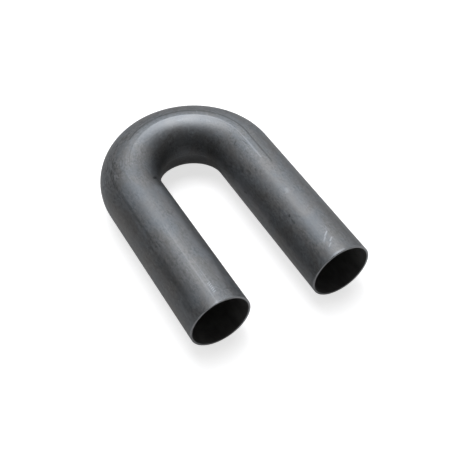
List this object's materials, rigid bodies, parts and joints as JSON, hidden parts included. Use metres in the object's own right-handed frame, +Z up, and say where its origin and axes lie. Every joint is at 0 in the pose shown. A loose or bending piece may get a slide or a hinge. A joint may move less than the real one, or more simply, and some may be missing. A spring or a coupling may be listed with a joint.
{
  "type": "mandrel bend tube",
  "caption": "Round steel tube mandrel-bent through 180 degrees into a U, with straight legs of slightly different length and square-cut open ends for welding or clamping into a pipe run.",
  "frame": {"origin": "on the surface that the tube lies on, under the middle of its outline", "axes": "+Z up, square to the plane of the bend; +Y from the cut ends towards the bend; +X from the shorter leg to the longer one"},
  "size_m": [0.1524, 0.2212, 0.0508],
  "materials": {
    "tube_steel": "bare mill-finish mild steel, dark grey, satin, with die witness lines and handling marks"
  },
  "bodies": {
    "root": {"bend_tube": "tube_steel"}
  },
  "joints": []
}
